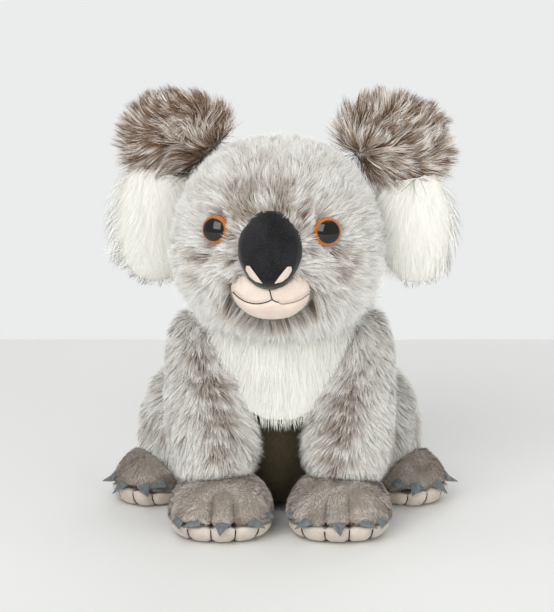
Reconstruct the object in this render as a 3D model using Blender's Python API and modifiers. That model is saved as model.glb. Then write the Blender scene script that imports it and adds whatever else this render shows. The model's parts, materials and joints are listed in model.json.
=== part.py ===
"""Plush koala sitting upright on the floor.

Metres, +Z up. The koala faces -Y, and the words left and right are its own: its left side is at +X.
The origin lies on the floor, in the middle of the seat.
"""
import math

import bmesh
import bpy
from mathutils import Matrix, Vector

# General values
GAP = 0.0003                    # clearance between neighbouring pieces
SWING_CLEARANCE = 0.0014        # clearance to the torso while a limb swings past it
FLOOR_FLAT = 0.0005             # depth to which a soft piece is flattened by standing
COVER_THICKNESS = 0.005         # plush cover with its pile pressed flat
CUTTER_SIZE = 0.400             # side of the blocks that cut flat faces
CAGE_LEVELS = 1                 # subdivision of the soft forms
BODY_SEGMENTS = 10              # sides of the cages
LIMB_SEGMENTS = 8
EAR_SEGMENTS = 8
FACE_SEGMENTS = 10
PAW_SEGMENTS = 12
FORWARD_AXIS = (-1, 0, 0)       # a limb swings forward and up about it

# Torso
TORSO_WIDTH = 0.122
TORSO_DEPTH = 0.108
TORSO_HEIGHT = 0.190
TORSO_Y = 0.008
TORSO_RING_SHARES = (           # height, width, depth and shift to the front, from the seat up
    (0.00, 0.00, 0.00, 0.00),
    (0.00, 0.56, 0.56, 0.00),
    (0.06, 0.84, 0.86, 0.01),
    (0.20, 0.99, 1.00, 0.01),
    (0.38, 0.98, 0.98, 0.03),
    (0.56, 0.88, 0.86, 0.08),
    (0.74, 0.78, 0.76, 0.13),
    (0.90, 0.66, 0.64, 0.16),
    (1.00, 0.00, 0.00, 0.16),
)

# White bib on the chest
BIB_THICKNESS = 0.005
BIB_TOP_WIDTH = 0.091
BIB_HEIGHT = 0.062
BIB_BOTTOM_Z = 0.068
BIB_OUTLINE_SHARES = (          # half width and height, from the lower tip up
    (0.18, 0.00),
    (0.44, 0.08),
    (0.70, 0.26),
    (0.90, 0.56),
    (1.00, 1.10),
)

# Bag of pellets that weights the seat
PELLET_BAG_HEIGHT = 0.022

# Head
HEAD_WIDTH = 0.127
HEAD_DEPTH = 0.120
HEAD_HEIGHT = 0.129
HEAD_X = -0.0015
HEAD_Y = -0.025
HEAD_Z = 0.180
HEAD_YAW = math.radians(-4.5)   # the face looks a little to the koala's right
HEAD_RING_SHARES = (
    (-0.50, 0.00, 0.00, 0.00),
    (-0.44, 0.46, 0.48, 0.00),
    (-0.29, 0.84, 0.82, 0.01),
    (-0.11, 0.99, 0.98, 0.02),
    (0.07, 1.00, 1.00, 0.02),
    (0.25, 0.88, 0.88, 0.01),
    (0.41, 0.58, 0.60, -0.01),
    (0.50, 0.00, 0.00, 0.00),
)
NECK_DROP = 0.040               # from the head's centre down the neck axis to the neck seam
NECK_SLOPE = math.radians(25.0) # forward lean of the neck axis

# Nose, muzzle and nostrils
NOSE_WIDTH = 0.043
NOSE_DEPTH = 0.040
NOSE_HEIGHT = 0.0515
NOSE_Z = 0.0065
NOSE_SEAT = 0.0090              # how far the nose's middle lies inside the face
NOSE_RING_SHARES = (
    (-0.50, 0.00, 0.00, 0.10),
    (-0.45, 0.38, 0.56, 0.14),
    (-0.32, 0.72, 0.86, 0.10),
    (-0.12, 0.97, 1.00, 0.05),
    (0.10, 0.97, 0.97, 0.01),
    (0.30, 0.78, 0.79, -0.05),
    (0.43, 0.48, 0.50, -0.10),
    (0.50, 0.00, 0.00, -0.12),
)
MUZZLE_WIDTH = 0.053
MUZZLE_DEPTH = 0.034
MUZZLE_HEIGHT = 0.044
MUZZLE_Z = -0.0205
MUZZLE_SEAT = 0.0095
MUZZLE_RING_SHARES = (
    (-0.50, 0.00, 0.00, 0.00),
    (-0.40, 0.60, 0.60, -0.02),
    (-0.15, 0.94, 0.96, 0.02),
    (0.13, 1.00, 1.00, 0.00),
    (0.37, 0.86, 0.84, -0.05),
    (0.50, 0.00, 0.00, -0.05),
)
FACE_SQUARE_SHARE = 0.85        # below 1 the nose and muzzle are squarer than ellipses in plan
NOSTRIL_THICKNESS = 0.0012
NOSTRIL_OUTLINE_SHARES = (      # of the nose's half width and half height, round the teardrop
    (0.56, -0.29),
    (0.44, -0.40),
    (0.28, -0.56),
    (0.12, -0.75),
    (0.36, -0.72),
    (0.57, -0.60),
    (0.69, -0.44),
    (0.68, -0.32),
)

# Safety eyes and their washers
EYE_DIAMETER = 0.018
EYE_DOME = 0.0065
EYE_RIM = 0.0010
EYE_SPACING = 0.068
EYE_Z = 0.0150
EYE_SUNK = 0.0025               # how deep the rim lies in the pile
EYE_TURN_SHARE = 0.85           # share of the head's own roundness that the eyes follow
STEM_DIAMETER = 0.005
STEM_LENGTH = 0.015
STEM_RIB = 0.0005
STEM_RIB_PITCH = 0.0024
WASHER_DIAMETER = 0.0165
WASHER_THICKNESS = 0.0016
WASHER_DEPTH = 0.0038           # from the eye's rim to the washer
EYE_DOME_STEPS = 4
STEM_RIBS = 3
EYE_SEGMENTS = 20
MERGE = 0.00001                 # merge distance of turned profiles

# Ears with their white fringes
EAR_WIDTH = 0.072
EAR_HEIGHT = 0.058
EAR_THICKNESS = 0.026
EAR_OUT = 0.0025                # the ear's middle outside the head's side
EAR_SHIFT = 0.0030              # both ears sit a little to the koala's left
EAR_Y = 0.024
EAR_Z = 0.055
EAR_TILT = math.radians(12.0)
EAR_RING_SHARES = (
    (-0.50, 0.00, 0.00, 0.00),
    (-0.38, 0.66, 0.66, 0.00),
    (-0.13, 0.98, 1.00, 0.00),
    (0.16, 0.98, 0.94, 0.00),
    (0.40, 0.66, 0.60, 0.00),
    (0.50, 0.00, 0.00, 0.00),
)
FRINGE_WIDTH = 0.056
FRINGE_HEIGHT = 0.092
FRINGE_THICKNESS = 0.024
FRINGE_OUT = 0.0155
FRINGE_Y = 0.021
FRINGE_Z = 0.004
FRINGE_TILT = math.radians(-6.0)
EAR_FOLD_IN = 0.0115            # the fold line inside the head's side
EAR_FOLD_Z = 0.030
EAR_FOLD_TILT = math.radians(14.0)      # the fold line leans outward going down
EAR_FORWARD = math.radians(8.0)
EAR_BACK = math.radians(20.0)
EAR_SWING_CLEARANCE = 0.0005    # clearance to the head while an ear folds

# Arms and front paws
SHOULDER_X = 0.0485
SHOULDER_Y = -0.014
SHOULDER_Z = 0.116
WRIST_X = 0.0400
WRIST_Y = -0.060
WRIST_Z = 0.030
ARM_WIDTH = 0.058
ARM_DEPTH = 0.050
ARM_OVERHANG = 0.020            # rounded top above the shoulder's middle
ARM_RING_SHARES = (
    (0.00, 0.00, 0.00, 0.00),
    (0.02, 0.68, 0.70, 0.00),
    (0.14, 0.99, 0.98, 0.00),
    (0.34, 1.00, 1.00, 0.00),
    (0.58, 0.94, 0.98, 0.00),
    (0.80, 0.84, 0.90, 0.00),
    (0.95, 0.56, 0.60, 0.00),
    (1.00, 0.00, 0.00, 0.00),
)
ARM_FORWARD = math.radians(26.0)
ARM_SWING_SHARES = (0.19, 0.40, 0.66, 1.00)   # stops of the swing at which the arm is cut clear
PAW_WIDTH = 0.068
PAW_LENGTH = 0.064
PAW_HEIGHT = 0.041
PAW_X = 0.0365
PAW_Y = -0.0625
PAW_RING_SHARES = (
    (0.00, 0.00, 0.00, 0.00),
    (0.00, 0.62, 0.62, 0.00),
    (0.06, 0.88, 0.88, 0.01),
    (0.30, 1.00, 1.00, 0.02),
    (0.62, 0.94, 0.88, -0.01),
    (0.92, 0.60, 0.52, -0.08),
    (1.00, 0.00, 0.00, -0.10),
)
PAW_SQUARE_SHARE = 0.80         # below 1 the plan of a paw is squarer than an ellipse
SOLE_FRONT_Z = 0.0135           # height of the sole's seam at the toes
SOLE_BACK_Z = 0.0040

# Legs and hind feet
LEG_WIDTH = 0.062
LEG_LENGTH = 0.082
LEG_HEIGHT = 0.088
LEG_X = 0.0600
LEG_Y = 0.031
LEG_RING_SHARES = (
    (0.00, 0.00, 0.00, 0.00),
    (0.00, 0.46, 0.52, 0.00),
    (0.08, 0.76, 0.80, 0.01),
    (0.30, 0.99, 1.00, 0.02),
    (0.58, 0.97, 0.96, 0.01),
    (0.84, 0.68, 0.66, -0.03),
    (1.00, 0.00, 0.00, -0.05),
)
HIP_X = 0.0550
HIP_Y = 0.038
HIP_Z = 0.044
LEG_UP = math.radians(12.0)
LEG_DOWN = math.radians(15.0)
FOOT_WIDTH = 0.047
FOOT_LENGTH = 0.054
FOOT_HEIGHT = 0.037
FOOT_X = 0.0800
FOOT_Y = 0.0085
FOOT_YAW = math.radians(44.0)

# Felt claws
CLAW_LENGTH = 0.0145
CLAW_WIDTH = 0.0086
CLAW_DEPTH = 0.0052
CLAW_ROOT = 0.0045              # length of the root, cut to the toe's shape
CLAW_Z = 0.0150
CLAW_SLOPE = math.radians(14.0)
CLAW_SEGMENTS = 8
CLAW_RING_SHARES = (            # along the claw, with the tip drooping
    (0.00, 0.00, 0.00, 0.00),
    (0.06, 0.80, 0.80, 0.00),
    (0.45, 1.00, 1.00, 0.04),
    (0.78, 0.58, 0.58, 0.22),
    (1.00, 0.00, 0.00, 0.52),
)
FRONT_CLAW_DEGREES = (          # place round the toes and direction, from the inner claw out
    (-60.0, -14.0),
    (-33.0, -20.0),
    (-3.0, 0.0),
    (25.0, 15.0),
    (52.0, 44.0),
)
HIND_CLAW_DEGREES = (
    (-58.0, -30.0),
    (-27.0, -15.0),
    (0.0, 0.0),
    (27.0, 20.0),
    (56.0, 45.0),
)

SIDES = (("left", 1), ("right", -1))


def collections():
    """Two collections: the koala's own pieces, and the shapes that only cut them."""
    pieces = bpy.data.collections.new("plush_koala")
    cutters = bpy.data.collections.new("cutters")
    bpy.context.scene.collection.children.link(pieces)
    bpy.context.scene.collection.children.link(cutters)
    return pieces, cutters


def material(name, colour, roughness):
    made = bpy.data.materials.new(name)
    made.use_nodes = True
    shader = made.node_tree.nodes["Principled BSDF"]
    shader.inputs["Base Color"].default_value = (*colour, 1.0)
    shader.inputs["Roughness"].default_value = roughness
    shader.inputs["Metallic"].default_value = 0.0
    made.diffuse_color = (*colour, 1.0)
    return made


def boolean(obj, cutter, operation="DIFFERENCE", solver="EXACT"):
    made = obj.modifiers.new(f"{operation.lower()}_{cutter.name}", "BOOLEAN")
    made.operation = operation
    made.object = cutter
    made.solver = solver


def rounded(value, share):
    """A coordinate of the unit circle, pushed out towards a square when the share is below 1."""
    return math.copysign(abs(value) ** share, value)


def form_cage(name, size, ring_shares, segments, square_share=1.0, levels=CAGE_LEVELS):
    """The cage of a soft form: a sphere whose rings take the given shares of the size."""
    width, depth, height = size
    steps = len(ring_shares) - 1
    swell = 3.0 / (2.0 + math.cos(2.0 * math.pi / segments)) if levels else 1.0
    cage = bmesh.new()
    bmesh.ops.create_uvsphere(cage, u_segments=segments, v_segments=steps, radius=1.0)
    for vertex in cage.verts:
        ring = steps - round(math.acos(max(-1.0, min(1.0, vertex.co.z))) / math.pi * steps)
        height_share, width_share, depth_share, forward_share = ring_shares[ring]
        around = math.atan2(vertex.co.y, vertex.co.x)
        across = rounded(math.cos(around), square_share) * width_share * swell
        along = rounded(math.sin(around), square_share) * depth_share * swell
        vertex.co.x = across * width / 2.0
        vertex.co.y = along * depth / 2.0 - forward_share * depth
        vertex.co.z = height_share * height
    mesh = bpy.data.meshes.new(name)
    cage.to_mesh(mesh)
    cage.free()
    mesh.shade_smooth()
    return mesh


class Koala:
    """The pieces made so far, with the collections that they go into."""

    def __init__(self):
        self.pieces, self.cutters = collections()
        self.floor = self.block("floor", (0, 0, 0), (0, 0, -1))

    def add(self, name, data, look=None, parent=None, location=(0, 0, 0), turn=(0, 0, 0)):
        obj = bpy.data.objects.new(name, data)
        obj.location = location
        obj.rotation_euler = turn
        obj.parent = parent
        if look is None:
            obj.hide_render = True
            obj.display_type = "WIRE"
            self.cutters.objects.link(obj)
            return obj
        obj.data.materials.append(look)
        self.pieces.objects.link(obj)
        return obj

    def empty(self, name, location, parent=None, turn=(0, 0, 0)):
        made = bpy.data.objects.new(name, None)
        made.empty_display_size = COVER_THICKNESS
        made.location = location
        made.rotation_euler = turn
        made.parent = parent
        self.pieces.objects.link(made)
        return made

    def form(self, name, cage, look, growth=0.0, **place):
        """A stuffed piece: its cage under a Subdivision Surface, grown or shrunk if asked."""
        obj = self.add(name, cage, look, **place)
        smooth = obj.modifiers.new("stuffing", "SUBSURF")
        smooth.levels = CAGE_LEVELS
        smooth.render_levels = CAGE_LEVELS
        if growth:
            grow = obj.modifiers.new("growth", "DISPLACE")
            grow.mid_level = 0.0
            grow.strength = growth
        return obj

    def again(self, form, growth, name, look=None, swing=None, parent=None):
        """The form alone, grown by a thickness or a clearance, and swung about a joint if asked."""
        bpy.context.view_layer.update()
        cage = form.data.copy()
        cage.materials.clear()
        obj = self.form(name, cage, look, growth)
        place = (swing or Matrix()) @ form.matrix_world
        if parent is None:
            obj.matrix_world = place
        else:
            obj.parent = parent
            obj.matrix_basis = parent.matrix_world.inverted() @ place
        return obj

    def block(self, name, point, normal, parent=None):
        """A cutter: a large block whose flat face lies in the plane, on the side of the normal."""
        cube = bmesh.new()
        bmesh.ops.create_cube(cube, size=CUTTER_SIZE)
        bmesh.ops.translate(cube, verts=cube.verts, vec=(0, 0, CUTTER_SIZE / 2.0))
        mesh = bpy.data.meshes.new(name)
        cube.to_mesh(mesh)
        cube.free()
        turn = Vector(normal).to_track_quat("Z", "Y").to_euler()
        return self.add(name, mesh, parent=parent, location=point, turn=turn)

    def prism(self, name, outline, parent, location):
        """A cutter: a flat outline in X and Z, drawn out along Y through the front of a form."""
        face = bmesh.new()
        corners = [face.verts.new((x, 0, z)) for x, z in outline]
        base = face.faces.new(corners)
        drawn = bmesh.ops.extrude_face_region(face, geom=[base])
        far = [item for item in drawn["geom"] if isinstance(item, bmesh.types.BMVert)]
        bmesh.ops.translate(face, verts=far, vec=(0, -CUTTER_SIZE / 2.0, 0))
        bmesh.ops.recalc_face_normals(face, faces=face.faces)
        mesh = bpy.data.meshes.new(name)
        face.to_mesh(mesh)
        face.free()
        return self.add(name, mesh, parent=parent, location=location)

    def turned(self, name, profile, look, parent=None, location=(0, 0, 0), turn=(0, 0, 0)):
        """A solid of revolution about its own Z axis, from a profile that runs top to bottom."""
        line = bmesh.new()
        points = [line.verts.new((radius, 0, height)) for radius, height in profile]
        for first, second in zip(points, points[1:]):
            line.edges.new((first, second))
        mesh = bpy.data.meshes.new(name)
        line.to_mesh(mesh)
        line.free()
        obj = self.add(name, mesh, look, parent, location, turn)
        screw = obj.modifiers.new("revolve", "SCREW")
        screw.steps = EYE_SEGMENTS
        screw.render_steps = EYE_SEGMENTS
        screw.use_merge_vertices = True
        screw.merge_threshold = MERGE
        return obj


def swing_about(point, axis, angle):
    """The matrix that turns things by the angle about a line in the world."""
    there = Matrix.Translation(point)
    return there @ Matrix.Rotation(angle, 4, Vector(axis)) @ there.inverted()


def neck_axis():
    return Vector((0.0, -math.sin(NECK_SLOPE), math.cos(NECK_SLOPE)))


def neck_point():
    """The middle of the neck seam."""
    return Vector((HEAD_X, HEAD_Y, HEAD_Z)) - neck_axis() * NECK_DROP


def aim(direction):
    """The turn that lays a piece's Z axis along a direction, with its X axis kept level."""
    pitch = -math.asin(direction.y / direction.length)
    return (pitch, math.atan2(direction.x, direction.z), 0)


def surface_point(form, start, direction):
    """Where a line through a form's own frame first meets its surface, and the normal there."""
    bpy.context.view_layer.update()
    shape = form.evaluated_get(bpy.context.evaluated_depsgraph_get())
    hit, point, normal, _ = shape.ray_cast(Vector(start), Vector(direction))
    assert hit, f"the line misses {form.name}"
    return point, normal


def face_point(form, x, z):
    """The point on the front of the head at this place, and its normal."""
    return surface_point(form, (x, -CUTTER_SIZE, z), (0, 1, 0))


def make_torso(koala, looks):
    """The cover, open at the neck, with its stuffing and the bag of pellets in the seat."""
    cage = form_cage("torso", (TORSO_WIDTH, TORSO_DEPTH, TORSO_HEIGHT), TORSO_RING_SHARES, BODY_SEGMENTS)
    torso = koala.form("torso", cage, looks["grey plush"], location=(0, TORSO_Y, -FLOOR_FLAT))
    above_neck = koala.block("above_neck", neck_point(), neck_axis())
    boolean(torso, koala.floor)
    boolean(torso, above_neck)
    boolean(torso, koala.again(torso, -COVER_THICKNESS, "torso_inside"))

    bag = koala.again(torso, -COVER_THICKNESS - GAP, "pellet_bag", looks["bag cloth"])
    filling = koala.again(torso, -COVER_THICKNESS - GAP, "torso_filling", looks["stuffing"])
    bag_top = COVER_THICKNESS + PELLET_BAG_HEIGHT
    boolean(bag, koala.block("above_bag", (0, 0, bag_top), (0, 0, 1)))
    boolean(filling, koala.block("below_filling", (0, 0, bag_top + GAP), (0, 0, -1)))
    boolean(filling, above_neck)
    return torso, above_neck


def bib_outline(growth):
    """The bib's outline in X and Z, from its lower tip round to its lower tip."""
    half = [(share * BIB_TOP_WIDTH / 2.0 + growth, height * BIB_HEIGHT) for share, height in BIB_OUTLINE_SHARES]
    half[0] = (half[0][0], half[0][1] - growth)
    return half + [(-x, z) for x, z in reversed(half)]


def bib_solid(koala, torso, name, growth, look=None, swing=None):
    """The front of the torso inside the bib's outline, raised by the bib's thickness."""
    solid = koala.again(torso, BIB_THICKNESS + growth, name, look, swing)
    place = (0, 0, BIB_BOTTOM_Z - torso.location.z)
    boolean(solid, koala.prism(f"{name}_outline", bib_outline(growth), solid, place), "INTERSECT")
    return solid


def make_bib(koala, looks, torso, above_neck):
    bib = bib_solid(koala, torso, "chest_bib", 0.0, looks["white plush"])
    boolean(bib, koala.again(torso, GAP, "torso_under_bib"))
    boolean(bib, above_neck)


def make_head(koala, looks, neck):
    """The cover, open at the neck, and its stuffing."""
    cage = form_cage("head", (HEAD_WIDTH, HEAD_DEPTH, HEAD_HEIGHT), HEAD_RING_SHARES, BODY_SEGMENTS)
    head = koala.form("head", cage, looks["grey plush"], parent=neck)
    below_neck = koala.block("below_neck", neck_point() + neck_axis() * GAP, -neck_axis())
    boolean(head, below_neck)
    boolean(head, koala.again(head, -COVER_THICKNESS, "head_inside"))
    filling = koala.again(head, -COVER_THICKNESS - GAP, "head_filling", looks["stuffing"], parent=neck)
    boolean(filling, below_neck)
    return head, filling


def eye_profile():
    """Dome, rim and ribbed stem, with the back of the rim at zero height."""
    radius = EYE_DIAMETER / 2.0
    stem = STEM_DIAMETER / 2.0
    profile = []
    for step in range(EYE_DOME_STEPS + 1):
        angle = math.pi / 2.0 * step / EYE_DOME_STEPS
        profile.append((radius * math.sin(angle), EYE_RIM + EYE_DOME * math.cos(angle)))
    profile.append((radius, 0))
    profile.append((stem, 0))
    for rib in range(STEM_RIBS):
        height = -STEM_LENGTH + (STEM_RIBS - rib) * STEM_RIB_PITCH
        profile.append((stem, height))
        profile.append((stem + STEM_RIB, height - STEM_RIB_PITCH + STEM_RIB))
    profile.append((stem, -STEM_LENGTH))
    profile.append((0, -STEM_LENGTH))
    return profile


def eye_room_profile():
    """The pocket, bore and washer pocket that the eye takes in the cover and the stuffing."""
    rim = EYE_DIAMETER / 2.0 + GAP
    bore = STEM_DIAMETER / 2.0 + STEM_RIB + GAP
    washer = WASHER_DIAMETER / 2.0 + GAP
    behind = WASHER_DEPTH + WASHER_THICKNESS
    return [
        (0, EYE_DIAMETER),
        (rim, EYE_DIAMETER),
        (rim, -GAP),
        (bore, -GAP),
        (bore, GAP - WASHER_DEPTH),
        (washer, GAP - WASHER_DEPTH),
        (washer, -behind - GAP),
        (bore, -behind - GAP),
        (bore, -STEM_LENGTH - GAP),
        (0, -STEM_LENGTH - GAP),
    ]


def make_eyes(koala, looks, neck, head, head_form, filling):
    """Domed safety eyes: a ribbed stem through the cover, held by a washer behind it."""
    bore = STEM_DIAMETER / 2.0 + STEM_RIB + GAP
    rim = WASHER_DIAMETER / 2.0
    thickness = WASHER_THICKNESS
    washer_profile = [(bore, 0), (rim, 0), (rim, -thickness), (bore, -thickness), (bore, 0)]
    for side, sign in SIDES:
        point, normal = face_point(head_form, sign * EYE_SPACING / 2.0, EYE_Z)
        gaze = Vector((normal.x * EYE_TURN_SHARE, -1.0, normal.z * EYE_TURN_SHARE)).normalized()
        turn = gaze.to_track_quat("Z", "Y").to_euler()
        place = {"parent": neck, "location": point - gaze * EYE_SUNK, "turn": turn}
        room = koala.turned(f"eye_room_{side}", eye_room_profile(), None, **place)
        boolean(head, room)
        boolean(filling, room)
        koala.turned(f"eye_{side}", eye_profile(), looks["eye"], **place)
        place["location"] = point - gaze * (EYE_SUNK + WASHER_DEPTH)
        koala.turned(f"eye_washer_{side}", washer_profile, looks["washer"], **place)


def make_nose_and_muzzle(koala, looks, neck, head_form):
    """The velour nose over the muzzle, and a pink teardrop under each side of the nose."""
    head_room = koala.again(head_form, GAP, "head_behind_face")
    nose_y = face_point(head_form, 0, NOSE_Z)[0].y + NOSE_SEAT
    size = (NOSE_WIDTH, NOSE_DEPTH, NOSE_HEIGHT)
    cage = form_cage("nose", size, NOSE_RING_SHARES, FACE_SEGMENTS, FACE_SQUARE_SHARE)
    nose = koala.form("nose", cage, looks["nose velour"], parent=neck, location=(0, nose_y, NOSE_Z))
    boolean(nose, head_room)

    muzzle_y = face_point(head_form, 0, MUZZLE_Z)[0].y + MUZZLE_SEAT
    size = (MUZZLE_WIDTH, MUZZLE_DEPTH, MUZZLE_HEIGHT)
    cage = form_cage("muzzle", size, MUZZLE_RING_SHARES, FACE_SEGMENTS, FACE_SQUARE_SHARE)
    muzzle = koala.form("muzzle", cage, looks["muzzle velour"], parent=neck,
                        location=(0, muzzle_y, MUZZLE_Z))
    boolean(muzzle, head_room)
    boolean(muzzle, koala.again(nose, GAP, "nose_over_muzzle"))

    muzzle_room = koala.again(muzzle, GAP, "muzzle_under_nostrils")
    nose_room = koala.again(nose, GAP, "nose_under_nostrils")
    for side, sign in SIDES:
        outline = [(sign * x * NOSE_WIDTH / 2.0, z * NOSE_HEIGHT / 2.0)
                   for x, z in NOSTRIL_OUTLINE_SHARES[::sign]]
        nostril = koala.again(nose, NOSTRIL_THICKNESS, f"nostril_{side}", looks["nostril velour"],
                              parent=neck)
        drop = koala.prism(f"nostril_outline_{side}", outline, nostril, (0, 0, 0))
        boolean(nostril, drop, "INTERSECT")
        boolean(nostril, nose_room)
        boolean(nostril, muzzle_room)
        boolean(nostril, head_room)


def ear_place(sign, outward):
    """How far across the head something of the ear lies, from the head's side outward."""
    return sign * (HEAD_WIDTH / 2.0 + outward) + EAR_SHIFT


def ear_fold(sign):
    """A point on the ear's fold line in the head's frame, and the line, positive folding forward."""
    point = Vector((ear_place(sign, -EAR_FOLD_IN), EAR_Y, EAR_FOLD_Z))
    line = Vector((math.sin(EAR_FOLD_TILT), 0, -sign * math.cos(EAR_FOLD_TILT)))
    return point, line


def make_ears(koala, looks, neck, head_form):
    """A broad ear with its long white fringe, cut to the head's side and to its own fold."""
    for side, sign in SIDES:
        fold, line = ear_fold(sign)
        hinge = koala.empty(f"ear_fold_{side}", fold, neck)
        size = (EAR_WIDTH, EAR_THICKNESS, EAR_HEIGHT)
        cage = form_cage(f"ear_{side}", size, EAR_RING_SHARES, EAR_SEGMENTS)
        place = Vector((ear_place(sign, EAR_OUT), EAR_Y, EAR_Z)) - fold
        ear = koala.form(f"ear_{side}", cage, looks["ear plush"], parent=hinge, location=place,
                         turn=(0, sign * EAR_TILT, 0))
        size = (FRINGE_WIDTH, FRINGE_THICKNESS, FRINGE_HEIGHT)
        cage = form_cage(f"ear_fringe_{side}", size, EAR_RING_SHARES, EAR_SEGMENTS)
        place = Vector((ear_place(sign, FRINGE_OUT), FRINGE_Y, FRINGE_Z)) - fold
        fringe = koala.form(f"ear_fringe_{side}", cage, looks["white plush"], parent=hinge,
                            location=place, turn=(0, sign * FRINGE_TILT, 0))
        bpy.context.view_layer.update()
        point = neck.matrix_world @ fold
        axis = neck.matrix_world.to_3x3() @ line
        rooms = [koala.again(head_form, GAP, f"head_at_ear_{side}")]
        for stop, angle in (("forward", EAR_FORWARD), ("back", -EAR_BACK)):
            swing = swing_about(point, axis, -angle)
            rooms.append(koala.again(head_form, EAR_SWING_CLEARANCE, f"head_{stop}_{side}", swing=swing))
        for room in rooms:
            boolean(ear, room)
            boolean(fringe, room)
        boolean(fringe, koala.again(ear, GAP, f"ear_on_fringe_{side}"))


def level_direction(degrees, sign):
    """A level direction, so far outward from straight ahead."""
    angle = math.radians(degrees)
    return Vector((sign * math.sin(angle), -math.cos(angle), 0))


def make_claws(koala, name, look, form, rooms, hinge, degrees, sign):
    """Felt claws fanned round the toes, each rooted on the toe's own surface."""
    to_hinge = hinge.matrix_world.inverted() @ form.matrix_world
    for number, (place, lean) in enumerate(degrees, start=1):
        outward = level_direction(place, sign)
        start = Vector((0, 0, CLAW_Z)) + outward * CUTTER_SIZE
        point = surface_point(form, start, -outward)[0]
        along = level_direction(lean, sign) * math.cos(CLAW_SLOPE) - Vector((0, 0, math.sin(CLAW_SLOPE)))
        turn = (to_hinge.to_3x3() @ along).to_track_quat("Z", "Y").to_euler()
        size = (CLAW_WIDTH, CLAW_DEPTH, CLAW_LENGTH)
        cage = form_cage(f"{name}_{number}", size, CLAW_RING_SHARES, CLAW_SEGMENTS, levels=0)
        claw = koala.add(f"{name}_{number}", cage, look, hinge, to_hinge @ (point - along * CLAW_ROOT), turn)
        for room in rooms:
            boolean(claw, room)


def make_paw(koala, looks, names, size, hinge, place, yaw, limb, rooms, claws, sign):
    """A paw or foot on its paler sole, cut by its limb, with five claws at the toes."""
    name, sole_name, claw_name = names
    cage = form_cage(name, size, PAW_RING_SHARES, PAW_SEGMENTS, PAW_SQUARE_SHARE)
    paw = koala.form(name, cage, looks["paw plush"], parent=hinge, location=place, turn=(0, 0, yaw))
    sole = koala.again(paw, 0.0, sole_name, looks["sole plush"], parent=hinge)
    guide = koala.again(paw, 0.0, f"{name}_form")
    slope = Vector((0, SOLE_FRONT_Z - SOLE_BACK_Z, size[1])).normalized()
    seam = guide.matrix_world @ Vector((0, -size[1] / 2.0, SOLE_FRONT_Z))
    across = guide.matrix_world.to_3x3() @ slope
    boolean(paw, koala.block(f"under_{name}", seam, -across))
    boolean(sole, koala.block(f"over_{sole_name}", seam - across * GAP, across))
    boolean(sole, koala.floor)
    for room in [koala.again(limb, GAP, f"limb_on_{name}"), *rooms]:
        boolean(paw, room)
        boolean(sole, room)
    make_claws(koala, claw_name, looks["claw felt"], guide, [koala.again(paw, GAP, f"toes_of_{name}")],
               hinge, claws, sign)


def torso_rooms(koala, torso, name, pivot, angles, with_bib=False):
    """The torso as a limb meets it at rest and at each angle of its swing."""
    swings = [("rest", GAP, None)]
    for number, angle in enumerate(angles, start=1):
        swings.append((f"swing_{number}", SWING_CLEARANCE, swing_about(pivot, FORWARD_AXIS, -angle)))
    rooms = []
    for stop, growth, swing in swings:
        rooms.append(koala.again(torso, growth, f"torso_{stop}_{name}", swing=swing))
        if with_bib:
            rooms.append(bib_solid(koala, torso, f"bib_{stop}_{name}", growth, swing=swing))
    return rooms


def make_arms(koala, looks, torso):
    """Arms from the shoulders to the floor in front, cut by the torso and the bib as they swing."""
    for side, sign in SIDES:
        shoulder = Vector((sign * SHOULDER_X, SHOULDER_Y, SHOULDER_Z))
        wrist = Vector((sign * WRIST_X, WRIST_Y, WRIST_Z))
        hinge = koala.empty(f"shoulder_{side}", shoulder)
        along = shoulder - wrist
        size = (ARM_WIDTH, ARM_DEPTH, along.length + ARM_OVERHANG)
        cage = form_cage(f"arm_{side}", size, ARM_RING_SHARES, LIMB_SEGMENTS)
        arm = koala.form(f"arm_{side}", cage, looks["grey plush"], parent=hinge,
                         location=wrist - shoulder, turn=aim(along))
        angles = [ARM_FORWARD * share for share in ARM_SWING_SHARES]
        rooms = torso_rooms(koala, torso, f"arm_{side}", shoulder, angles, with_bib=True)
        for room in rooms:
            boolean(arm, room, solver="MANIFOLD")
        names = (f"paw_{side}", f"paw_sole_{side}", f"front_claw_{side}")
        place = Vector((sign * PAW_X, PAW_Y, -FLOOR_FLAT)) - shoulder
        make_paw(koala, looks, names, (PAW_WIDTH, PAW_LENGTH, PAW_HEIGHT), hinge, place, 0, arm,
                 rooms[:1], FRONT_CLAW_DEGREES, sign)


def make_legs(koala, looks, torso):
    """Haunches at the hips, cut by the torso as they swing, with the hind feet pointing outward."""
    for side, sign in SIDES:
        hip = Vector((sign * HIP_X, HIP_Y, HIP_Z))
        hinge = koala.empty(f"hip_{side}", hip)
        cage = form_cage(f"leg_{side}", (LEG_WIDTH, LEG_LENGTH, LEG_HEIGHT), LEG_RING_SHARES, LIMB_SEGMENTS)
        leg = koala.form(f"leg_{side}", cage, looks["grey plush"], parent=hinge,
                         location=Vector((sign * LEG_X, LEG_Y, -FLOOR_FLAT)) - hip)
        rooms = torso_rooms(koala, torso, f"leg_{side}", hip, (LEG_UP, -LEG_DOWN))
        boolean(leg, koala.floor)
        for room in rooms:
            boolean(leg, room)
        names = (f"foot_{side}", f"foot_sole_{side}", f"hind_claw_{side}")
        place = Vector((sign * FOOT_X, FOOT_Y, -FLOOR_FLAT)) - hip
        make_paw(koala, looks, names, (FOOT_WIDTH, FOOT_LENGTH, FOOT_HEIGHT), hinge, place,
                 sign * FOOT_YAW, leg, rooms, HIND_CLAW_DEGREES, sign)


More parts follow.
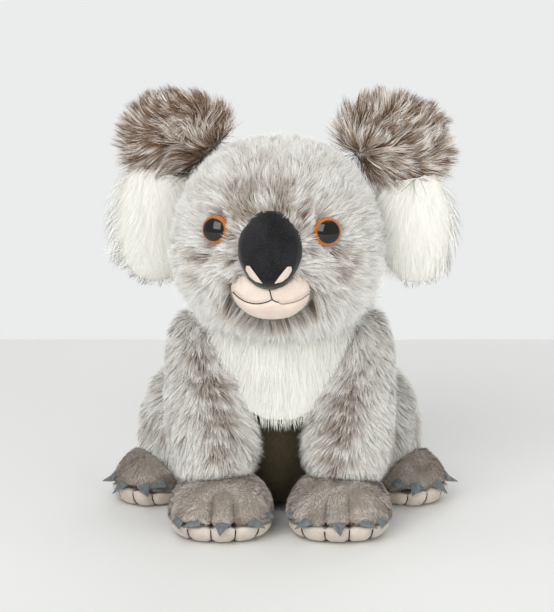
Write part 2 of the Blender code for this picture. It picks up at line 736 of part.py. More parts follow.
def make_looks():
    return {
        "grey plush": material("grey_plush", (0.60, 0.57, 0.53), 0.95),
        "ear plush": material("ear_plush", (0.25, 0.20, 0.16), 0.95),
        "white plush": material("white_plush", (0.86, 0.85, 0.80), 0.95),
        "paw plush": material("paw_plush", (0.36, 0.31, 0.27), 0.90),
        "sole plush": material("sole_plush", (0.60, 0.52, 0.46), 0.90),
        "nose velour": material("nose_velour", (0.025, 0.025, 0.028), 0.85),
        "muzzle velour": material("muzzle_velour", (0.85, 0.72, 0.65), 0.85),
        "nostril velour": material("nostril_velour", (0.82, 0.62, 0.55), 0.85),
        "claw felt": material("claw_felt", (0.13, 0.17, 0.20), 0.85),
        "eye": material("eye_acrylic", (0.40, 0.13, 0.02), 0.10),
        "washer": material("washer_plastic", (0.80, 0.80, 0.78), 0.45),
        "stuffing": material("polyester_stuffing", (0.90, 0.90, 0.88), 0.95),
        "bag cloth": material("bag_cloth", (0.70, 0.70, 0.66), 0.90),
    }


def main():
    for obj in list(bpy.data.objects):
        bpy.data.objects.remove(obj)
    koala = Koala()
    looks = make_looks()
    torso, above_neck = make_torso(koala, looks)
    torso_form = koala.again(torso, 0.0, "torso_form")
    make_bib(koala, looks, torso_form, above_neck)
    neck = koala.empty("neck_turn", (HEAD_X, HEAD_Y, HEAD_Z), turn=(0, 0, HEAD_YAW))
    head, head_filling = make_head(koala, looks, neck)
    head_form = koala.again(head, 0.0, "head_form", parent=neck)
    make_eyes(koala, looks, neck, head, head_form, head_filling)
    make_nose_and_muzzle(koala, looks, neck, head_form)
    make_ears(koala, looks, neck, head_form)
    make_arms(koala, looks, torso_form)
    make_legs(koala, looks, torso_form)


main()
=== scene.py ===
# %% [markdown]
# # A plush koala
# The toy is a sewn cover of long-pile plush over fibre stuffing, with a velour nose and muzzle,
# safety eyes and felt claws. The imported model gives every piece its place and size. Here each
# sewn piece gets its skin, and then its pile, strand by strand.

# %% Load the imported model
import json
import math

import bmesh
import bpy
import numpy as np
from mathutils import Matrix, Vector
from mathutils.bvhtree import BVHTree
from mathutils.kdtree import KDTree

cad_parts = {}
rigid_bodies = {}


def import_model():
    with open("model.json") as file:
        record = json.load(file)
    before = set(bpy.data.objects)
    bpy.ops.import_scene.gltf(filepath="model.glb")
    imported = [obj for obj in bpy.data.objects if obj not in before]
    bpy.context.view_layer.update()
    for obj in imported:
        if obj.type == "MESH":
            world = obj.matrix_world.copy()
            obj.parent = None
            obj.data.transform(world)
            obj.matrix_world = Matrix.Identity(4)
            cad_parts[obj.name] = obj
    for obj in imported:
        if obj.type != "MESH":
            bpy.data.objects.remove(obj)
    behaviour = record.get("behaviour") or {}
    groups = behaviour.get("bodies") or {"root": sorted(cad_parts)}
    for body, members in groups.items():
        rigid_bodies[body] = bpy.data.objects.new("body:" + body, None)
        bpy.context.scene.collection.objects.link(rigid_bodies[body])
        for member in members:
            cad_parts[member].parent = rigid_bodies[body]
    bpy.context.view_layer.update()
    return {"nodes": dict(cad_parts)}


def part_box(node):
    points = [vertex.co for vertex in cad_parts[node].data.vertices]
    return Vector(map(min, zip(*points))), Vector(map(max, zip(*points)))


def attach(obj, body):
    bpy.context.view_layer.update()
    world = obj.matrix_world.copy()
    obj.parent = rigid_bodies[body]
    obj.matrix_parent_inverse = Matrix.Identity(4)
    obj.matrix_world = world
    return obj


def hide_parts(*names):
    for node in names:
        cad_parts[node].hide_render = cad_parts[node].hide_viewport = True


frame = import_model()

# %% [markdown]
# Colours are written as the hex values that a picture editor shows, which are sRGB. Shaders work
# with linear light, so one function turns them. Another adds a shader node, because a material is
# a short list of nodes, each fed by the one before.

# %% Colours and shader nodes
def linear(code):
    """The linear colour of an sRGB hex value, with an alpha of 1."""
    parts = [int(code[at:at + 2], 16) / 255 for at in (1, 3, 5)]
    return [part / 12.92 if part <= 0.04045 else ((part + 0.055) / 1.055) ** 2.4
            for part in parts] + [1.0]


def node(tree, kind, links=None, sockets=None, **settings):
    """Adds a node with its settings, the values of its sockets and what feeds them."""
    made = tree.nodes.new(kind)
    for name, value in settings.items():
        setattr(made, name, value)
    for name, value in (sockets or {}).items():
        made.inputs[name].default_value = value
    for name, source in (links or {}).items():
        tree.links.new(source, made.inputs[name])
    return made


def material(name, roughness, **sockets):
    """An empty material with its surface shader. Plain values sit on the shader's own sockets."""
    made = bpy.data.materials.new(name)
    made.use_nodes = True
    shader = made.node_tree.nodes["Principled BSDF"]
    shader.inputs["Roughness"].default_value = roughness
    for socket, value in sockets.items():
        shader.inputs[socket.replace("_", " ")].default_value = value
    return made, made.node_tree, shader


def plain(name, code, roughness, **sockets):
    """A material of one colour."""
    made, _, shader = material(name, roughness, **sockets)
    shader.inputs["Base Color"].default_value = linear(code)
    return made


print("white is", [round(part, 3) for part in linear("#f4f4ee")])

# %% [markdown]
# The photograph looks slightly down on the toy through a long lens. One pixel covers 0.62 mm at
# the toy, which the 18 mm safety eyes give. The camera stands far off, so near and far pieces
# keep almost the same scale, as they do in the photograph.

# %% The camera
def link(obj):
    """Puts a new object in the scene."""
    bpy.context.scene.collection.objects.link(obj)
    return obj


PIXEL, FRAME_PIXELS = 0.00062, 612
ELEVATION = math.radians(15.0)
DISTANCE, SIGHT_END = 3.0, 20.0
SENSOR = 36.0
AIM = Vector((-0.0019, -0.0200, 0.1333))

lens = bpy.data.cameras.new("camera")
lens.sensor_width = SENSOR
lens.lens = SENSOR * DISTANCE / (FRAME_PIXELS * PIXEL)
lens.clip_end = SIGHT_END
camera = link(bpy.data.objects.new("camera", lens))
back = Vector((0, -math.cos(ELEVATION), math.sin(ELEVATION)))
camera.location = AIM + back * DISTANCE
camera.rotation_euler = (-back).to_track_quat("-Z", "Y").to_euler()
bpy.context.scene.camera = camera
bpy.context.scene.view_settings.view_transform = "Standard"
print("lens", round(lens.lens), "mm")

# %% [markdown]
# The toy sits on a pale table, whose back edge is the line behind it in the photograph. The wall
# stands far back, so that it blocks no view of the toy, and shows in its own pale colour: what the
# camera and clear reflections see of it is an even paint, and all other light meets a plain wall.

# %% Table and wall
TABLE_SIDE, TABLE_FRONT, TABLE_BACK = 3.0, -3.0, 0.386
WALL_SIDE, WALL_BACK, WALL_FOOT, WALL_TOP = 16.0, 4.0, -4.0, 9.0
WALL_COLOUR = "#ebecec"


def stage_plane(name, side, front, back, look):
    """A rectangle between two edges, each given by its place along y and its height."""
    mesh = bpy.data.meshes.new(name)
    mesh.from_pydata([(-side, *front), (side, *front), (side, *back), (-side, *back)],
                     [], [(0, 1, 2, 3)])
    mesh.materials.append(look)
    plane = link(bpy.data.objects.new(name, mesh))


table_look = plain("painted_table", "#eeeeec", 0.8)
wall_look = plain("painted_wall", WALL_COLOUR, 0.9)
stage_plane("table", TABLE_SIDE, (TABLE_FRONT, 0), (TABLE_BACK, 0), table_look)
stage_plane("wall", WALL_SIDE, (WALL_BACK, WALL_FOOT), (WALL_BACK, WALL_TOP), wall_look)
tree = wall_look.node_tree
sight = node(tree, "ShaderNodeLightPath")
seen = sight.outputs["Is Camera Ray"]
for ray in ("Is Glossy Ray", "Is Transmission Ray"):
    seen = node(tree, "ShaderNodeMath", {0: seen, 1: sight.outputs[ray]}, operation="MAXIMUM")
    seen = seen.outputs[0]
paint = node(tree, "ShaderNodeEmission", sockets={"Color": linear(WALL_COLOUR)})
matt = tree.nodes["Principled BSDF"]
wall = node(tree, "ShaderNodeMixShader", {0: seen, 1: matt.outputs[0], 2: paint.outputs[0]})
tree.links.new(wall.outputs[0], tree.nodes["Material Output"].inputs["Surface"])
print("the wall stands", WALL_BACK, "m back")

# %% [markdown]
# Large lamps above, in front and behind give soft light, and a plain white world fills the
# shadows. The fill lamp is hidden from reflections, so each eye shows one highlight, as in the
# photograph.

# %% Lamps
TOY_MIDDLE = Vector((0, 0, 0.12))
WORLD_STRENGTH = 0.45


def lamp(name, place, size, power):
    """A rectangular lamp of so many metres and watts, turned towards the toy."""
    light = bpy.data.lights.new(name, "AREA")
    light.shape = "RECTANGLE"
    light.size, light.size_y = size
    light.energy = power
    obj = link(bpy.data.objects.new(name, light))
    obj.location = place
    obj.rotation_euler = (TOY_MIDDLE - Vector(place)).to_track_quat("-Z", "Y").to_euler()
    return obj


lamp("key_softbox", (-0.7, -1.7, 1.4), (1.6, 1.6), 28)
lamp("fill_softbox", (1.1, -1.8, 0.5), (1.4, 0.8), 11).visible_glossy = False
lamp("top_softbox", (0.0, 0.0, 1.8), (1.8, 1.4), 5)
lamp("back_softbox", (0.5, 1.6, 1.0), (1.4, 1.0), 7)
world = bpy.data.worlds.new("room")
bpy.context.scene.world = world
world.use_nodes = True
room = world.node_tree.nodes["Background"]
room.inputs["Color"].default_value = linear("#ffffff")
room.inputs["Strength"].default_value = WORLD_STRENGTH
print("four soft lamps in a white world")

# %% [markdown]
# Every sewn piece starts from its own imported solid. A copy is merged, remeshed to an even skin
# and smoothed, which rounds its facets as stuffing does. The skin is then drawn in by a few
# millimetres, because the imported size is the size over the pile.

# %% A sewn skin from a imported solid
MM = 0.001
MERGE = 0.01 * MM
PILE_INSET = 6 * MM


def alone(obj):
    """Selects this object and nothing else."""
    bpy.ops.object.select_all(action="DESELECT")
    bpy.context.view_layer.objects.active = obj
    obj.select_set(True)


def apply(obj, kind, **settings):
    """Adds a modifier and applies it at once."""
    alone(obj)
    made = obj.modifiers.new(kind.lower(), kind)
    for name, value in settings.items():
        setattr(made, name, value)
    bpy.ops.object.modifier_apply(modifier=made.name)


def outer_shell(obj):
    """Keeps the shell that holds the lowest point, and drops what is closed up inside it."""
    low = min(obj.data.vertices, key=lambda vertex: vertex.co.z).index
    alone(obj)
    bpy.ops.object.mode_set(mode="EDIT")
    bpy.ops.mesh.select_mode(type="VERT")
    bpy.ops.mesh.select_all(action="DESELECT")
    bpy.ops.object.mode_set(mode="OBJECT")
    obj.data.vertices[low].select = True
    bpy.ops.object.mode_set(mode="EDIT")
    bpy.ops.mesh.select_linked()
    bpy.ops.mesh.select_all(action="INVERT")
    bpy.ops.mesh.delete(type="VERT")
    bpy.ops.object.mode_set(mode="OBJECT")


def skin(name, nodes, body, look, voxel, inset, smoothing=6, hull=False):
    """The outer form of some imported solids, evenly meshed, smoothed and drawn in."""
    copies = [link(bpy.data.objects.new(name, frame["nodes"][part].data.copy())) for part in nodes]
    alone(copies[0])
    for obj in copies[1:]:
        obj.select_set(True)
    if len(copies) > 1:
        bpy.ops.object.join()
    obj = copies[0]
    obj.name = name
    bpy.ops.object.mode_set(mode="EDIT")
    bpy.ops.mesh.select_all(action="SELECT")
    bpy.ops.mesh.remove_doubles(threshold=MERGE)
    if hull:
        bpy.ops.mesh.convex_hull()
    bpy.ops.object.mode_set(mode="OBJECT")
    apply(obj, "REMESH", mode="VOXEL", voxel_size=voxel)
    outer_shell(obj)
    apply(obj, "SMOOTH", factor=0.5, iterations=smoothing)
    if inset:
        apply(obj, "DISPLACE", mid_level=0.0, strength=-inset)
        apply(obj, "SMOOTH", factor=0.5, iterations=2)
    obj.data.materials.clear()
    obj.data.materials.append(look)
    obj.data.shade_smooth()
    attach(obj, body)
    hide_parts(*nodes)
    print(name, len(obj.data.polygons), "faces")
    return obj


# %% [markdown]
# Plush is a knitted backing with cut fibres standing in it. From a step away the eye sees tufts:
# fibres that lean with the nap, gather towards a common tip and part over darker roots. A hair
# system would leave this model as a curve that other programs drop, so each fibre is a narrow
# strip of a few faces, grown from a point on the skin.

# %% Reading a skin
PER_CM2 = 10000


def surface(obj):
    """The places and normals of a skin's points, and the corners of its triangles."""
    mesh = obj.data
    mesh.calc_loop_triangles()
    places = np.empty(len(mesh.vertices) * 3, np.float32)
    mesh.vertices.foreach_get("co", places)
    normals = np.empty(len(mesh.vertices) * 3, np.float32)
    mesh.vertex_normals.foreach_get("vector", normals)
    corners = np.empty(len(mesh.loop_triangles) * 3, np.int32)
    mesh.loop_triangles.foreach_get("vertices", corners)
    return places.reshape(-1, 3), normals.reshape(-1, 3), corners.reshape(-1, 3)


def places_of(obj):
    """The places of an object's points."""
    return np.array([vertex.co for vertex in obj.data.vertices])


def set_places(obj, places):
    """Moves an object's points."""
    obj.data.vertices.foreach_set("co", places.astype(np.float32).ravel())
    obj.data.update()


def unit(vectors):
    """The same directions at a length of 1."""
    return vectors / np.maximum(np.linalg.norm(vectors, axis=-1, keepdims=True), 1e-9)


def scatter(obj, density, rng):
    """Random points on a skin, so many to the square centimetre, and its normals there."""
    places, normals, corners = surface(obj)
    a, b, c = (places[corners[:, k]] for k in range(3))
    areas = np.linalg.norm(np.cross(b - a, c - a), axis=1) / 2
    count = int(areas.sum() * PER_CM2 * density)
    chosen = corners[rng.choice(len(areas), count, p=areas / areas.sum())]
    one, two = rng.random((2, count))
    over = one + two > 1
    one[over], two[over] = 1 - one[over], 1 - two[over]
    weights = np.stack([1 - one - two, one, two], 1)[:, :, None]
    return (weights * places[chosen]).sum(1), unit((weights * normals[chosen]).sum(1))


def tree_of(obj):
    """A search tree of an object's faces, for casting rays and finding near places."""
    bm = bmesh.new()
    bm.from_mesh(obj.data)
    tree = BVHTree.FromBMesh(bm)
    bm.free()
    return tree


def open_sky(points, normals, name, reach, deep):
    """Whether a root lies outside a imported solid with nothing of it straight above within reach,
    or lies in the solid but only so deep."""
    obj = frame["nodes"][name]
    tree = tree_of(obj)
    corners = places_of(obj)
    close = ((points > corners.min(0) - reach) & (points < corners.max(0) + reach)).all(1)
    found = np.ones(len(points), bool)
    for index in np.nonzero(close)[0]:
        point = Vector(points[index])
        place, normal, _, _ = tree.find_nearest(point)
        under = -(point - place).dot(normal)
        hit = tree.ray_cast(point, Vector(normals[index]), reach)[0]
        found[index] = under < deep and (under > 0 or hit is None)
    return found


SWELLS, SWELL_SPREAD = 7, 2.6


def waves(points, size, seed):
    """A smooth random vector field whose swells are about this size, mostly from -1 to 1."""
    rng = np.random.default_rng(seed)
    total = np.zeros((len(points), 3))
    for _ in range(SWELLS):
        along = unit(rng.normal(size=3)) * 2 * np.pi / (size * rng.uniform(0.7, 1.6))
        total += np.sin(points @ along + rng.uniform(0, 2 * np.pi))[:, None] * rng.normal(size=3)
    return total / SWELL_SPREAD


# %% [markdown]
# A strip is a narrow ribbon that ends in a point. Its map holds the fibre's tone across and the
# way from root to tip upwards, so one material colours every fibre. A ribbon lit by its own flat
# side would glitter, so its normals lean towards the skin's and up to the light in front, as a
# bundle of round fibres is lit.

# %% Strips
LOWEST = 0.2 * MM


def strips(name, body, look, paths, normals, tones, width, glint, toward, rng):
    """One mesh of narrow ribbons along the paths."""
    count, segments = len(paths), paths.shape[1] - 1
    heading = unit(paths[:, -1] - paths[:, 0])
    side = unit(np.cross(heading, normals))
    roll = rng.uniform(-1.0, 1.0, (count, 1))
    side = side * np.cos(roll) + np.cross(heading, side) * np.sin(roll)
    lit = unit(glint * unit(np.cross(side, heading)) + normals + toward)
    taper = np.interp(np.arange(segments) / segments, [0, 0.4, 1], [0.8, 1.0, 0.5])
    widths = width / 2 * rng.uniform(0.7, 1.3, (count, 1, 1))
    half = side[:, None] * taper[None, :, None] * widths
    per_strip = 2 * segments + 1
    places = np.empty((count, per_strip, 3))
    places[:, 0:-1:2] = paths[:, :-1] - half
    places[:, 1:-1:2] = paths[:, :-1] + half
    places[:, -1] = paths[:, -1]
    places[:, :, 2] = np.maximum(places[:, :, 2], LOWEST)
    ring = np.arange(per_strip) // 2
    across = np.where(np.arange(per_strip) % 2, 1.0, -1.0)
    across[-1] = 0.0
    steps = 2 * np.arange(segments - 1)
    corners = np.concatenate([np.stack([steps, steps + 1, steps + 3, steps + 2], 1).ravel(),
                              2 * segments - 2 + np.arange(3)])
    starts = 4 * np.arange(segments)
    base = np.arange(count)[:, None]
    mesh = bpy.data.meshes.new(name)
    mesh.vertices.add(count * per_strip)
    mesh.vertices.foreach_set("co", places.astype(np.float32).ravel())
    mesh.loops.add(count * len(corners))
    indices = (base * per_strip + corners).astype(np.int32).ravel()
    mesh.loops.foreach_set("vertex_index", indices)
    mesh.polygons.add(count * segments)
    starts = (base * len(corners) + starts).astype(np.int32).ravel()
    mesh.polygons.foreach_set("loop_start", starts)
    mesh.update(calc_edges=True)
    across_map = 0.03 + 0.94 * tones[:, None] + 0.008 * across[None, corners]
    along_map = np.broadcast_to(0.02 + 0.96 * ring[corners] / segments, across_map.shape)
    layer = mesh.uv_layers.new(name="OFBake")
    places_on_map = np.stack([across_map, along_map], 2)
    layer.uv.foreach_set("vector", places_on_map.astype(np.float32).ravel())
    mesh.shade_smooth()
    kept = mesh.attributes.new("custom_normal", "FLOAT_VECTOR", "POINT")
    kept.data.foreach_set("vector", np.repeat(lit, per_strip, axis=0).astype(np.float32).ravel())
    mesh.materials.append(look)
    obj = link(bpy.data.objects.new(name, mesh))
    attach(obj, body)


# %% [markdown]
# The pile lies as it was brushed. Each piece gives the way of its nap, the length and the tone of
# the fibres, and the rest is common to all: a slow swirl, a droop, and tufts of two sizes.

# %% Growing a pile
GROUND = 0.3 * MM
PIECE_LIMIT = 195000
SECOND_MIX = 0.06


def gathered(paths, points, area, spacing, hold, rng):
    """Draws each fibre towards its nearest leader, more at the tip, and says which leader it is."""
    count = len(points)
    leaders = rng.choice(count, max(1, min(count, int(area / spacing ** 2))), replace=False)
    tree = KDTree(len(leaders))
    for index, leader in enumerate(leaders):
        tree.insert(points[leader], index)
    tree.balance()
    nearest = np.array([tree.find(point)[1] for point in points])
    share = np.linspace(0, 1, paths.shape[1])[None, :, None]
    pull = hold * rng.uniform(0.4, 1.0, count)[:, None, None] * share ** 1.3
    return paths + (paths[leaders[nearest]] - paths) * pull, nearest, len(leaders)


def grow(name, skin_obj, body, look, comb, density, seed, clear=(), reach=6 * MM, deep=0,
         lean=(20, 62), width=0.27 * MM, segments=3, droop=0.15, ruffle=0.3, swirl=9 * MM,
         glint=0.45, toward=(0, -0.3, 0.45), tufts=((3.5, 0.5), (11, 0.2)), mix=(0.06, 0.10)):
    """Fibres all over a skin, so many to the square centimetre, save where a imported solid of
    clear lies over it. They lean from the normal by degrees at root and tip. Each of one or two
    kinds of tufts has a spacing in mm and a hold, and mix spreads the tones of fibres and tufts."""
    rng = np.random.default_rng(seed)
    points, normals = scatter(skin_obj, density, rng)
    for part in clear:
        kept = open_sky(points, normals, part, reach, deep)
        points, normals = points[kept], normals[kept]
    flow, *rest = comb(points, normals)
    lengths, tones, rise = (np.broadcast_to(each, len(points)) for each in rest)
    kept = lengths > 0
    points, normals, flow, lengths, tones, rise = (
        each[kept] for each in (points, normals, flow, lengths, tones, rise))
    count = len(points)
    flow = (unit(flow) + ruffle * waves(points, 28 * MM, seed)
            + 0.8 * ruffle * waves(points, swirl, seed + 1))
    flow = flow + rng.normal(scale=0.12, size=(count, 3))
    flow = unit(flow - normals * (flow * normals).sum(1)[:, None])
    jitter = rng.normal(scale=0.12, size=count)
    lengths = lengths * rng.uniform(0.8, 1.12, count)
    paths = [points]
    for step in range(segments):
        share = (step + 0.5) / segments
        angle = (np.radians(lean[0] + (lean[1] - lean[0]) * share) * (1 - rise) + jitter)[:, None]
        heading = normals * np.cos(angle) + flow * np.sin(angle)
        heading[:, 2] -= droop * share
        paths.append(paths[-1] + unit(heading) * (lengths / segments)[:, None])
    paths = np.stack(paths, 1)
    paths[..., 2] = np.maximum(paths[..., 2], GROUND)
    tones = (tones + 0.10 * waves(points, 22 * MM, seed + 2)[:, 0]
             + rng.normal(scale=mix[0], size=count))
    area = count / density / PER_CM2
    for (spacing, hold), spread in zip(tufts, (mix[1], SECOND_MIX)):
        paths, nearest, number = gathered(paths, points, area, spacing * MM, hold, rng)
        tones = tones + rng.normal(scale=spread, size=number)[nearest]
    tones = np.clip(tones, 0, 1)
    parts = -(-count * (2 * segments - 1) // PIECE_LIMIT)
    order = np.array_split(np.argsort(points[:, 1], kind="stable"), parts)
    for number, rows in enumerate(order, start=1):
        own = name if parts == 1 else f"{name}_{number}"
        strips(own, body, look, paths[rows], normals[rows], tones[rows], width, glint, toward, rng)
    print(name, count, "fibres in", parts, "pieces")


# %% [markdown]
# The fibres are dyed in the yarn and bleached at their tips, which gives the frosted grey of the
# coat. So a fibre's colour runs from a brown root to a pale tip, along the map's height, and the
# map's width goes from the palest fibres to the brownest.

# %% The colours of the pile
def pile_look(name, pale, brown, sheen=0.35, stops=(0.42, 0.72)):
    """A fibre's colour from root to tip, in a pale and a brown version mixed by its tone."""
    made, tree, shader = material(name, 0.7, Specular_IOR_Level=0.3, Sheen_Weight=sheen,
                                  Sheen_Roughness=0.6)
    place = node(tree, "ShaderNodeUVMap", uv_map="OFBake")
    split = node(tree, "ShaderNodeSeparateXYZ", {"Vector": place.outputs["UV"]})
    ramps = []
    for root, halfway, frost, tip in (pale, brown):
        ramp = node(tree, "ShaderNodeValToRGB", {"Fac": split.outputs["Y"]})
        ramp.color_ramp.elements[0].color = linear(root)
        ramp.color_ramp.elements[-1].color = linear(tip)
        ramp.color_ramp.elements.new(stops[0]).color = linear(halfway)
        ramp.color_ramp.elements.new(stops[1]).color = linear(frost)
        ramps.append(ramp.outputs["Color"])
    mixed = node(tree, "ShaderNodeMix", {"Factor": split.outputs["X"]}, data_type="RGBA")
    tree.links.new(ramps[0], mixed.inputs["A"])
    tree.links.new(ramps[1], mixed.inputs["B"])
    tree.links.new(mixed.outputs["Result"], shader.inputs["Base Color"])
    return made


grey_pile = pile_look("frosted_grey_acrylic_pile", ("#dedbd3", "#eeece6", "#fbfbf7", "#ffffff"),
                      ("#452f1a", "#79614a", "#c3b8aa", "#f6f3ee"), stops=(0.5, 0.8))
brown_pile = pile_look("frosted_brown_acrylic_pile", ("#7a583a", "#d4bea6", "#fdf7ee", "#ffffff"),
                       ("#1c0f05", "#4a2b11", "#704a27", "#9c774f"), stops=(0.38, 0.75))
white_pile = pile_look("white_acrylic_pile", ("#fbfaf2", "#fffef7", "#fffffa", "#fffffa"),
                       ("#f1eee2", "#f9f8f0", "#fffffa", "#fffffa"), sheen=0.8)
taupe_pile = pile_look("taupe_short_pile", ("#b5aa9e", "#cdc4ba", "#dcd4cb", "#ebe5de"),
                       ("#6c5f54", "#877a6e", "#9a8d81", "#aca095"))
# Painted shade: the short pile between the arms is coloured dark olive-brown for the deep shadow
# there.
painted_shade_pile = pile_look("painted_shade_short_pile", ("#332c1b", "#3c3422", "#403825", "#453d29"),
                       ("#403a28", "#4a4330", "#504935", "#564f3a"), sheen=0.0)


def two_tones(tree, shader, tone, edges, light, dark, grain, strength, height):
    """Colours a cloth by a ramp between two tones, and raises its grain."""
    ramp = node(tree, "ShaderNodeValToRGB", {"Fac": tone})
    for stop, edge, code in zip(ramp.color_ramp.elements, edges, (dark, light)):
        stop.position, stop.color = edge, linear(code)
    raised = node(tree, "ShaderNodeBump", {"Height": grain},
                  {"Strength": strength, "Distance": height})
    tree.links.new(ramp.outputs["Color"], shader.inputs["Base Color"])
    tree.links.new(raised.outputs["Normal"], shader.inputs["Normal"])


STREAK = 0.6


def knit(name, light, dark, run):
    """The cloth under the pile: fibres pressed flat along it, in streaks of two tones."""
    made, tree, shader = material(name, 0.9, Sheen_Weight=0.3, Specular_IOR_Level=0.2)
    place = node(tree, "ShaderNodeTexCoord").outputs["Object"]
    drawn = node(tree, "ShaderNodeMapping", {"Vector": place}, {"Scale": (1, 1, STREAK / run)})
    streaks = node(tree, "ShaderNodeTexNoise", {"Vector": drawn.outputs["Vector"]},
                   {"Scale": 1000 / STREAK, "Detail": 3.0}).outputs["Fac"]
    two_tones(tree, shader, streaks, (0.35, 0.65), light, dark, streaks, 0.4, 0.3 * MM)
    return made


backing = knit("knitted_polyester_backing", "#c9c0b6", "#b0a498", 1.2)
white_backing = knit("knitted_white_backing", "#f2f1ea", "#e6e4dc", 9)
# Painted shade: the backing under the belly pile, dark for the same shadow.
backing_of_painted_shade = knit("knitted_backing_of_painted_shade", "#4a4431", "#413b29", 9)
taupe_backing = knit("knitted_taupe_backing", "#aa9f93", "#8f8478", 1.2)

# %% [markdown]
# The head is a ball of eight gores that fur hides. The nap starts at the nose and runs outwards
# over the face, then down behind. It is clipped short round the nose, the muzzle and the eyes,
# where the brown roots show, and left long and pale at the rim.

# %% The head
HEAD_PILE, FACE_PILE = 15 * MM, 8 * MM
FACE_LIFT = 7 * MM
EYE_RADIUS = 9 * MM


def middle(name):
    """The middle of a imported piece's box."""
    low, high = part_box(name)
    return np.array((low + high) / 2)


def near(points, place, reach):
    """A smooth weight: 1 at a place, a third at its reach."""
    return np.exp(-(np.linalg.norm(points - np.array(place), axis=1) / reach) ** 2)


nose, muzzle, centre = (middle(part) for part in ("nose", "muzzle", "head"))
eyes = [middle("eye_left"), middle("eye_right")]


def comb_head(points, normals):
    """Outwards from the nose: the way, length, tone and rise of each fibre."""
    away = unit(points - (nose + [0, 12 * MM, -6 * MM]))
    behind = np.clip((points[:, 1] - centre[1]) / (50 * MM), 0, 1)
    jowl = np.clip((centre[2] - points[:, 2]) / (40 * MM), 0, 1)
    jowl = jowl * (1 - near(points, muzzle, 34 * MM))
    lengths = HEAD_PILE - (HEAD_PILE - FACE_PILE) * near(points, nose, 42 * MM)
    lengths = lengths * (1 + 0.9 * jowl)
    across, high = ((points - muzzle)[:, [0, 2]] / [25 * MM, 16 * MM]).T
    ring = np.where(points[:, 1] < centre[1], np.hypot(across, high), 9)
    lengths = lengths * np.where(ring < 0.98, 0, 0.85 + 0.15 * np.clip((ring - 1) / 0.4, 0, 1))
    mottle = waves(points, 9 * MM, 7)[:, 0]
    brow = near(points, nose + [-5 * MM, 14 * MM, 24 * MM], 20 * MM)
    brown = 0.4 * near(points, nose, 44 * MM) + 0.75 * brow
    rim = 0.6 * np.exp(-(np.maximum(ring - 1.08, 0) / 0.08) ** 2)
    chin = points[:, 2] < muzzle[2] - 5 * MM
    tones = 0.02 + brown * (1 + 0.6 * mottle) + rim - 0.3 * jowl
    # Below the muzzle the fibres turn paler: partly the chin's own pale tips, partly painted light
    # against the shade that the muzzle casts.
    tones -= 0.6 * np.clip((ring - 1.15) / 0.15, 0, 1) * chin
    rise = 0.15 * near(points, nose, 40 * MM)
    for eye in eyes:
        out = np.sign(eye[0] - nose[0])
        offset = points - eye
        gap = np.linalg.norm(offset, axis=1) - EYE_RADIUS
        upstream = (offset * away).sum(1) < 0
        inner = np.clip(-out * offset[:, 0] / (8 * MM), 0, 1) ** 2
        limit = np.maximum(gap + (0.3 + 3.2 * inner) * MM, 2.5 * MM)
        lengths = np.where(upstream & (gap < 10 * MM), np.minimum(lengths, limit), lengths)
        rise += 0.1 * near(points, eye, 14 * MM)
        for drop in (16, 27):
            tones += 0.75 * near(points, eye + [out * 9 * MM, 0, -drop * MM], 8 * MM) * (1 + mottle)
    # Behind, up to 45 in 100 fibres are left out, picked by the last digits of their place.
    kept = np.modf(np.abs(points[:, 0]) * 1e6)[0] > 0.45 * behind
    flow = away - (0.4 * behind + 0.4 * jowl)[:, None] * [0, 0, 1]
    return flow, lengths * kept, tones, rise


head_skin = skin("head_skin", ["head", "head_filling"], "head", backing, 3 * MM, PILE_INSET,
                 hull=True)
places, normals, _ = surface(head_skin)
lifted = np.maximum(0.55 * near(places, nose, 38 * MM), near(places, muzzle, 29 * MM))
set_places(head_skin, places + normals * (FACE_LIFT * lifted)[:, None])
grow("head_pile", head_skin, "head", grey_pile, comb_head, 300, 11, reach=1 * MM,
     clear=["nose", "muzzle", "eye_left", "eye_right", "ear_left", "ear_right", "torso_filling"],
     lean=(34, 76), mix=(0.07, 0.26), width=0.24 * MM, tufts=((1.7, 0.6), (8, 0.12)), glint=0.9)

# %% [markdown]
# The body has the same coat, brushed down, and a collar that flares outwards below the head. The
# belly between the arms lies in deep shade, and this shade is painted into its short pile and its
# backing as a dark olive-brown. The bib is a panel of long white pile, sewn on flat, so its nap
# lies close and ends in loose tips over the belly.

# %% The body and the bib
BODY_PILE, BIB_PILE, BELLY_PILE = 13 * MM, 16 * MM, 5 * MM
COLLAR = 108 * MM
SHADE_FRONT, SHADE_TOP, SHADE_SIDE = -15 * MM, 72 * MM, 27 * MM


def in_shade(points):
    """The belly between the arms, below the bib, whose pile and backing carry a painted shade."""
    x, y, z = points.T
    return (y < SHADE_FRONT) & (z < SHADE_TOP) & (np.abs(x) < SHADE_SIDE)


def comb_body(points, normals):
    """Down, but outwards at the collar, and shorter in front."""
    collar = np.clip((points[:, 2] - COLLAR) / (20 * MM), 0, 1)
    flow = ((1.2 * collar - 1)[:, None] * [0, 0, 1]
            + (0.3 + 0.7 * collar)[:, None] * normals * [1, 1, 0])
    front = np.clip((-points[:, 1] - 12 * MM) / (12 * MM), 0, 1)
    lengths = BODY_PILE * (1 + 0.6 * collar) * (1 - 0.6 * front)
    return flow, np.where(in_shade(points), 0, lengths), 0.2 * (1 - collar), 0


def comb_belly(points, normals):
    """Straight down, and only in the belly's painted shade."""
    return normals * 0 + [0, 0, -1], np.where(in_shade(points), BELLY_PILE, 0), 0.5, 0


def comb_bib(points, normals):
    """Down and a little outwards, shorter at the hem, and darker there as painted shade."""
    aside = (points[:, 0] - middle("chest_bib")[0]) / (50 * MM)
    above = points[:, 2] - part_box("chest_bib")[0].z
    flow = np.stack([0.25 * aside, 0 * aside, -np.ones(len(points))], 1)
    # Painted shade: the tone darkens towards the hem, where the bib curves under into shade.
    hem = 1 - np.clip(above / (12 * MM), 0, 1)
    return flow, BIB_PILE * np.clip(above / (22 * MM), 0.6, 1), 0.2 + 0.8 * hem, 0


